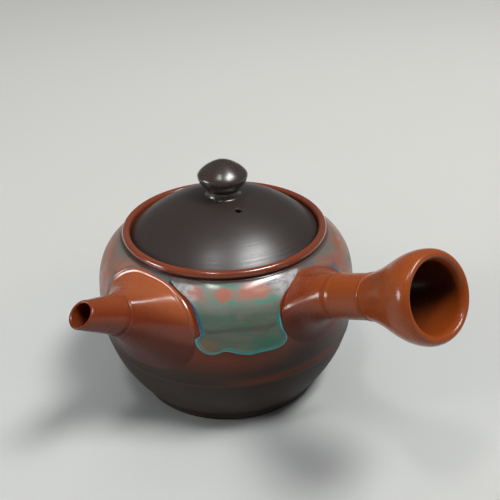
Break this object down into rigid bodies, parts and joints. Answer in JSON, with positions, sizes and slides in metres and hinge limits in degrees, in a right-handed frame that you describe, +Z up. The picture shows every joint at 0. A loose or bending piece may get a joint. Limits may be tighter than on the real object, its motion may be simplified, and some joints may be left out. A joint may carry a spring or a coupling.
{
  "type": "kyusu teapot",
  "caption": "Side-handled clay teapot with a round body, short spout with inner strainer, hollow bell-shaped handle, run glaze on the shoulder and a lift-off domed lid with a jewel knob.",
  "frame": {"origin": "centre of the foot ring, on the body's axis, at the table", "axes": "+Z up along the body's axis, -X towards the spout, -Y roughly towards the side handle"},
  "size_m": [0.1383, 0.1751, 0.1038],
  "materials": {
    "red_clay": "satin",
    "handle_clay": "satin",
    "dark_clay": "satin",
    "run_glaze": "gloss"
  },
  "bodies": {
    "pot": {"pot_body": "red_clay", "spout_root": "red_clay", "spout_tip": "red_clay", "handle_root": "handle_clay", "handle_grip": "handle_clay", "tea_strainer": "red_clay", "front_glaze": "run_glaze", "rear_glaze": "run_glaze"},
    "lid": {"lid": "dark_clay", "lid_knob": "dark_clay"}
  },
  "joints": [
    {"name": "lid_lift", "type": "slide", "parent": "pot", "child": "lid", "axis": [0, 0, 1], "range_m": [0, 0.06]}
  ]
}
